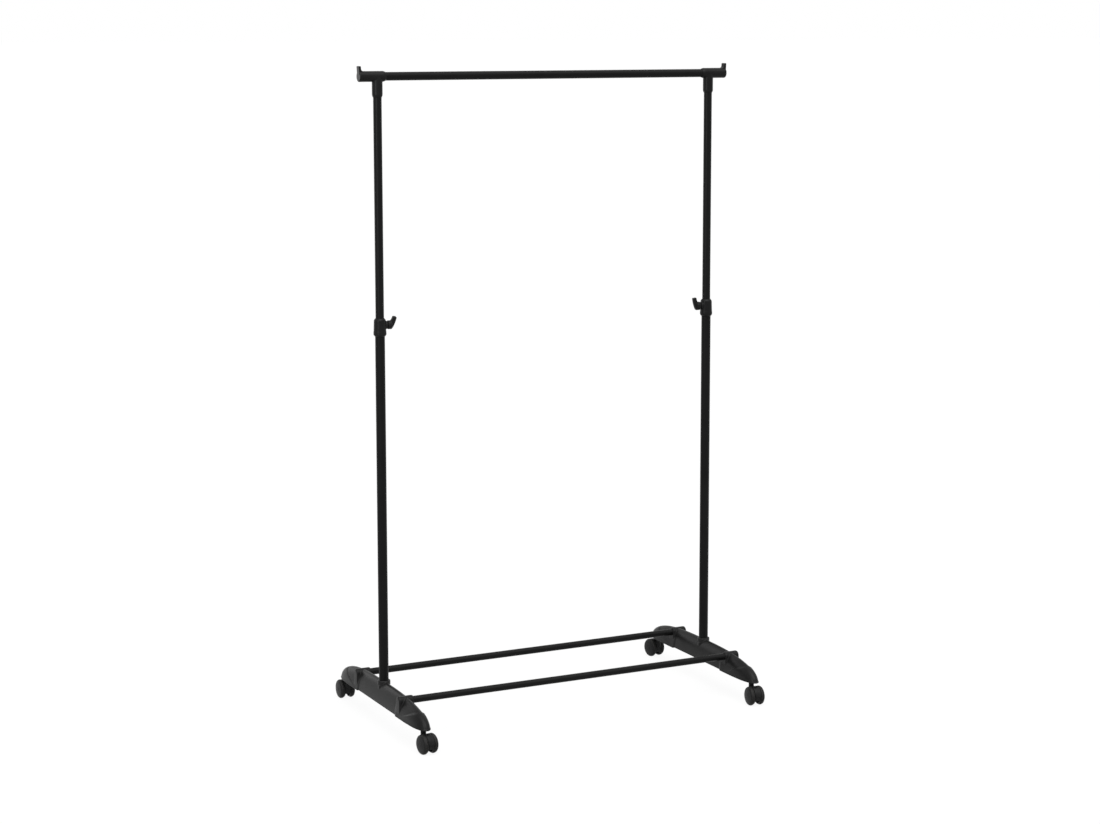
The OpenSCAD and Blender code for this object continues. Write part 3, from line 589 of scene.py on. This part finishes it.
hoodMoulding = makeHood()
wheelMoulding = makeWheel()
for corner in corners:
    stem = centreOf("stem_" + corner)
    axle = centreOf("axle_" + corner)
    heading = math.atan2(stem.x - axle.x, axle.y - stem.y)
    piece = bpy.data.objects.new("hood_moulding_" + corner, hoodMoulding.data)
    bpy.context.scene.collection.objects.link(piece)
    piece.matrix_world = Matrix.Translation((stem.x * mm, stem.y * mm, 0)) @ Matrix.Rotation(heading, 4, "Z")
    stands(piece, "caster_" + corner, "hood_" + corner)
    for which in ("outer", "inner"):
        name = which + "_wheel_" + corner
        away = centreOf(name) - axle
        facing = math.atan2(away.y, away.x)
        piece = bpy.data.objects.new(which + "_wheel_moulding_" + corner, wheelMoulding.data)
        bpy.context.scene.collection.objects.link(piece)
        piece.matrix_world = Matrix.Translation(axle * mm) @ Matrix.Rotation(facing, 4, "Z")
        stands(piece, name, name)
bpy.data.objects.remove(hoodMoulding)
bpy.data.objects.remove(wheelMoulding)
print("casters: 4 hoods, 8 wheels")


# materials

def linear(hexColour):
    shares = [int(hexColour[i:i + 2], 16) / 255 for i in (1, 3, 5)]
    return [s / 12.92 if s <= 0.04045 else ((s + 0.055) / 1.055) ** 2.4 for s in shares] + [1.0]


def scaleFor(size):
    # the noise scale that makes patches of about this size in millimetres
    return 1 / (size * mm)


def addNode(tree, kind, settings={}, links={}):
    # settings are the node's options or input values; links join its inputs to outputs, or to the
    # first output of a node
    made = tree.nodes.new("ShaderNode" + kind)
    for key, value in settings.items():
        if isinstance(key, str) and hasattr(made, key):
            setattr(made, key, value)
        else:
            made.inputs[key].default_value = value
    for key, source in links.items():
        output = source.outputs[0] if hasattr(source, "outputs") else source
        tree.links.new(output, made.inputs[key])
    return made


def newMaterial(name, settings={}):
    made = bpy.data.materials.new(name)
    made.use_nodes = True
    tree = made.node_tree
    shader = tree.nodes["Principled BSDF"]
    for key, value in settings.items():
        shader.inputs[key].default_value = value
    return made, tree, shader, addNode(tree, "TexCoord").outputs["Object"]


def surfaced(tree, shader, tone, colours, sheen, roughness, relief, depth, spread=(0.3, 0.7)):
    # tone and sheen are patterns that run from the first colour and roughness to the second, between
    # the two values of spread; relief is a pattern pressed in, depth millimetres deep
    low, high = spread
    share = addNode(tree, "MapRange", {"From Min": low, "From Max": high}, {"Value": tone})
    colour = addNode(tree, "Mix", {"data_type": "RGBA", 6: linear(colours[0]), 7: linear(colours[1])},
                     {"Factor": share})
    rough = addNode(tree, "MapRange", {"From Min": low, "From Max": high, "To Min": roughness[0],
                                       "To Max": roughness[1]}, {"Value": sheen})
    bump = addNode(tree, "Bump", {"Distance": depth * mm}, {"Height": relief})
    tree.links.new(colour.outputs[2], shader.inputs["Base Color"])
    tree.links.new(rough.outputs["Result"], shader.inputs["Roughness"])
    tree.links.new(bump.outputs["Normal"], shader.inputs["Normal"])


def powderCoatedSteel():
    # steel tube with a baked black powder coat: satin, with a soft orange peel that breaks up highlights
    made, tree, shader, place = newMaterial("powder coated steel, satin black", {"Specular IOR Level": 0.08})
    # real peel is about 0.6 mm across, drawn coarser to show
    peel = addNode(tree, "TexNoise", {"Scale": scaleFor(2.5)}, {"Vector": place})
    patches = addNode(tree, "TexNoise", {"Scale": scaleFor(45), "Detail": 3}, {"Vector": place})
    surfaced(tree, shader, patches, ("#0d0d0d", "#111111"), patches, (0.34, 0.42), peel, 0.01)
    return made


def rubbedPowderCoat():
    # the same coat where a post slides through its collar: faint streaks along the post, a little smoother
    made, tree, shader, place = newMaterial("powder coated steel, rubbed by sliding",
                                            {"Specular IOR Level": 0.09})
    peel = addNode(tree, "TexNoise", {"Scale": scaleFor(2.5)}, {"Vector": place})
    # handling marks 1 to 2 mm wide and some 60 mm long
    drawnOut = addNode(tree, "Mapping", {"Scale": (1, 1, 0.02)}, {"Vector": place})
    streaks = addNode(tree, "TexNoise", {"Scale": scaleFor(1.3), "Detail": 3}, {"Vector": drawnOut})
    surfaced(tree, shader, streaks, ("#0d0d0d", "#151515"), streaks, (0.38, 0.3), peel, 0.01, (0.48, 0.72))
    return made


def sparkErodedPolypropylene():
    # polypropylene moulded in a spark-eroded tool: an even matt grain that softens every highlight
    made, tree, shader, place = newMaterial("polypropylene, spark eroded grain",
                                            {"Specular IOR Level": 0.09})
    # real grain is about 0.15 mm, drawn coarser to show
    pits = addNode(tree, "TexNoise", {"Scale": scaleFor(0.9), "Detail": 4}, {"Vector": place})
    # faint cloudiness where the melt cooled unevenly
    flow = addNode(tree, "TexNoise", {"Scale": scaleFor(38), "Detail": 3}, {"Vector": place})
    surfaced(tree, shader, flow, ("#121212", "#181818"), pits, (0.29, 0.38), pits, 0.02)
    return made


def polishedPolypropylene():
    # the rim of a post socket, polished in the mould: the same plastic, a little darker, with a stronger
    # but broader gloss
    made, tree, shader, place = newMaterial("polypropylene, polished rim", {"Specular IOR Level": 0.15})
    flow = addNode(tree, "TexNoise", {"Scale": scaleFor(12), "Detail": 3}, {"Vector": place})
    ripple = addNode(tree, "TexNoise", {"Scale": scaleFor(2.5)}, {"Vector": place})
    surfaced(tree, shader, flow, ("#121212", "#161616"), flow, (0.36, 0.44), ripple, 0.02)
    return made


def mouldedNylonHood():
    # nylon moulded in a polished tool: smooth and slightly glossy, with soft flow marks
    made, tree, shader, place = newMaterial("nylon, polished moulding", {"Specular IOR Level": 0.1})
    flow = addNode(tree, "TexNoise", {"Scale": scaleFor(9), "Detail": 4}, {"Vector": place})
    ripple = addNode(tree, "TexNoise", {"Scale": scaleFor(3)}, {"Vector": place})
    surfaced(tree, shader, flow, ("#141414", "#1a1a1a"), flow, (0.3, 0.42), ripple, 0.03)
    return made


def mouldedNylonWheel():
    # wheel nylon: satin faces, and a tread dulled by fine dust and scuffs from rolling
    made, tree, shader, place = newMaterial("nylon, rolled and scuffed", {"Specular IOR Level": 0.1})
    parts = addNode(tree, "SeparateXYZ", links={"Vector": place})
    flat = addNode(tree, "CombineXYZ", links={"Y": parts.outputs["Y"], "Z": parts.outputs["Z"]})
    radius = addNode(tree, "VectorMath", {"operation": "LENGTH"}, {0: flat}).outputs["Value"]
    # the dust starts 3.5 mm in from the rolling face and is full at 0.6 mm in
    onTread = addNode(tree, "MapRange", {"From Min": (wheelR - 3.5) * mm, "From Max": (wheelR - 0.6) * mm},
                      {"Value": radius})
    specks = addNode(tree, "TexNoise", {"Scale": scaleFor(2.2), "Detail": 5}, {"Vector": place})
    scuffs = addNode(tree, "MapRange", {"From Min": 0.42, "From Max": 0.68}, {"Value": specks})
    dust = addNode(tree, "Math", {"operation": "MULTIPLY"}, {0: onTread, 1: scuffs})
    ripple = addNode(tree, "TexNoise", {"Scale": scaleFor(1.2), "Detail": 3}, {"Vector": place})
    surfaced(tree, shader, dust, ("#171717", "#282726"), dust, (0.4, 0.7), ripple, 0.03, (0, 1))
    return made


def zincPlatedSteel():
    # bright zinc plate on turned steel: a soft grey metal shine with cloudy patches
    made, tree, shader, place = newMaterial("zinc plated steel, barrel plated", {"Metallic": 1.0})
    clouds = addNode(tree, "TexNoise", {"Scale": scaleFor(5), "Detail": 4}, {"Vector": place})
    turned = addNode(tree, "TexNoise", {"Scale": scaleFor(0.8)}, {"Vector": place})
    surfaced(tree, shader, clouds, ("#a9adb1", "#c4c7c9"), clouds, (0.28, 0.42), turned, 0.01)
    return made


def naturalNylon():
    # unpigmented nylon, moulded: milky white with a faint waxy gloss
    made, tree, shader, place = newMaterial("nylon, natural moulding")
    clouds = addNode(tree, "TexNoise", {"Scale": scaleFor(8), "Detail": 3}, {"Vector": place})
    ripple = addNode(tree, "TexNoise", {"Scale": scaleFor(1.5)}, {"Vector": place})
    surfaced(tree, shader, clouds, ("#e2dfd5", "#ebe9e2"), clouds, (0.4, 0.5), ripple, 0.02)
    return made


def coated(things, *materials):
    for thing in things:
        thing.data.materials.clear()
        for material in materials:
            thing.data.materials.append(material)


pieces = [thing for thing in bpy.data.objects if "moulding" in thing.name and thing.type == "MESH"]
legs = [legLeft, legRight]
grained = sparkErodedPolypropylene()
hoodNylon, wheelNylon = mouldedNylonHood(), mouldedNylonWheel()
coated(legs, grained, polishedPolypropylene())
coated([teeLeft, teeRight, collarLeft, collarRight, knobLeft, knobRight], grained)
coated([thing for thing in pieces if thing.name.startswith("hood")], hoodNylon)
coated([thing for thing in pieces if "wheel" in thing.name], wheelNylon)

# the rim round each post takes the legs' second material, the polished one
rimEdge, rimFoot = leg["rimR"] + leg["polishedPast"][0], legTop - leg["rimHeight"] - leg["polishedPast"][1]
for thing in legs:
    side = 1 if thing is legRight else -1
    for face in thing.data.polygons:
        x, y, z = face.center / mm
        if math.hypot(x - side * postX, y) < rimEdge and z > rimFoot:
            face.material_index = 1

tubeSteel, rubbedSteel = powderCoatedSteel(), rubbedPowderCoat()
zinc, nylon = zincPlatedSteel(), naturalNylon()
for name, node in nodes.items():
    if name.startswith("upper_post"):
        coated([node], rubbedSteel)
    elif name.startswith(("lower_post", "base_rail", "hanging_rail")):
        coated([node], tubeSteel)
    elif name.startswith("caster_socket"):
        coated([node], hoodNylon)
    elif "bush" in name:
        coated([node], nylon)
    else:
        coated([node], zinc)
print("materials:", len(bpy.data.materials))


# studio: a pale floor under a dome of soft light. The dome is brightest overhead, a little towards the
# front, and its front half is dimmer than its back.

studio = {
    "dome": 0.15, "frontShare": 0.6, "frontBand": (-0.8, 0.3),
    "key": 5.5, "keyFrom": (-0.08, -0.4, 0.91), "keyPower": 5,
    "left": 24, "leftSize": (0.35, 1.7), "leftPlace": (-2.3, -1.35, 1.7),
    "rim": 5.5, "rimSize": (0.8, 1.2), "rimPlace": (-1.4, 2.8, 1.1),
    "floorSize": 400, "floorColour": "#979797", "floorGlow": 0.8, "floorWhite": 1.15,
}


def seenRays(tree):
    # rays from the camera, and those that reach the backdrop by way of gloss or glass
    path = addNode(tree, "LightPath").outputs
    seen = addNode(tree, "Math", {"operation": "MAXIMUM"},
                   {0: path["Is Camera Ray"], 1: path["Is Glossy Ray"]})
    return addNode(tree, "Math", {"operation": "MAXIMUM"}, {0: seen, 1: path["Is Transmission Ray"]})


world = bpy.data.worlds.new("studio")
bpy.context.scene.world = world
world.use_nodes = True
tree = world.node_tree
tree.nodes.clear()
looking = addNode(tree, "VectorMath", {"operation": "NORMALIZE"},
                  {0: addNode(tree, "TexCoord").outputs["Generated"]})
towardsKey = addNode(tree, "VectorMath",
                     {"operation": "DOT_PRODUCT", 1: Vector(studio["keyFrom"]).normalized()}, {0: looking})
key = addNode(tree, "Math", {"operation": "MAXIMUM", 1: 0.0}, {0: towardsKey.outputs["Value"]})
key = addNode(tree, "Math", {"operation": "POWER", 1: studio["keyPower"]}, {0: key})
direction = addNode(tree, "SeparateXYZ", links={"Vector": looking})
fromMin, fromMax = studio["frontBand"]
base = addNode(tree, "MapRange",
               {"From Min": fromMin, "From Max": fromMax, "To Min": studio["dome"] * studio["frontShare"],
                "To Max": studio["dome"]}, {"Value": direction.outputs["Y"]})
glow = addNode(tree, "Math", {"operation": "MULTIPLY_ADD", 1: studio["key"]}, {0: key, 2: base})
shown = addNode(tree, "Math", {"operation": "MAXIMUM", 1: 1.0}, {0: glow})
dome = addNode(tree, "Background", {"Color": (1, 1, 1, 1)}, {"Strength": glow})
backdrop = addNode(tree, "Background", {"Color": (1, 1, 1, 1)}, {"Strength": shown})
mix = addNode(tree, "MixShader", links={0: seenRays(tree), 1: dome, 2: backdrop})
addNode(tree, "OutputWorld", links={"Surface": mix})


def softbox(name, power, size, place):
    lamp = bpy.data.lights.new(name, "AREA")
    lamp.shape = "RECTANGLE"
    lamp.size, lamp.size_y = size
    lamp.energy = power
    made = bpy.data.objects.new(name, lamp)
    bpy.context.scene.collection.objects.link(made)
    made.location = place
    made.rotation_euler = Vector((-place[0], -place[1], 0)).to_track_quat("-Z", "Y").to_euler()


# a tall softbox at the left draws a soft line down the posts; one behind it brightens faces that look left
softbox("left softbox", studio["left"], studio["leftSize"], studio["leftPlace"])
softbox("rim softbox", studio["rim"], studio["rimSize"], studio["rimPlace"])

floorMesh = bpy.data.meshes.new("floor")
half = studio["floorSize"] / 2
edges = [(-half, -half, 0), (half, -half, 0), (half, half, 0), (-half, half, 0)]
floorMesh.from_pydata(edges, [], [(0, 1, 2, 3)])
floor = bpy.data.objects.new("floor", floorMesh)
bpy.context.scene.collection.objects.link(floor)
paper = bpy.data.materials.new("matt paper")
paper.use_nodes = True
tree = paper.node_tree
tree.nodes.clear()
matt = addNode(tree, "BsdfDiffuse", {"Color": linear(studio["floorColour"])})
bright = addNode(tree, "Emission", {"Color": (1, 1, 1, 1), "Strength": studio["floorWhite"]})
share = addNode(tree, "Math", {"operation": "MULTIPLY", 1: studio["floorGlow"]}, {0: seenRays(tree)})
mix = addNode(tree, "MixShader", links={0: share, 1: matt, 2: bright})
addNode(tree, "OutputMaterial", links={"Surface": mix})
floorMesh.materials.append(paper)


# camera

view = {
    "lens": 76.695, "sensor": 36, "place": (-2.3752, -4.8378, 1.5875), "yaw": 26.593, "pitch": 8.067,
    "shift": (-0.01508, -0.05),
}
lensData = bpy.data.cameras.new("camera")
lensData.lens = view["lens"]
lensData.sensor_width = view["sensor"]
lensData.shift_x, lensData.shift_y = view["shift"]
camera = bpy.data.objects.new("camera", lensData)
bpy.context.scene.collection.objects.link(camera)
camera.location = view["place"]
camera.rotation_euler = (math.radians(90 - view["pitch"]), 0, -math.radians(view["yaw"]))
scene = bpy.context.scene
scene.camera = camera
scene.view_settings.view_transform = "Standard"
print("studio and camera ready")
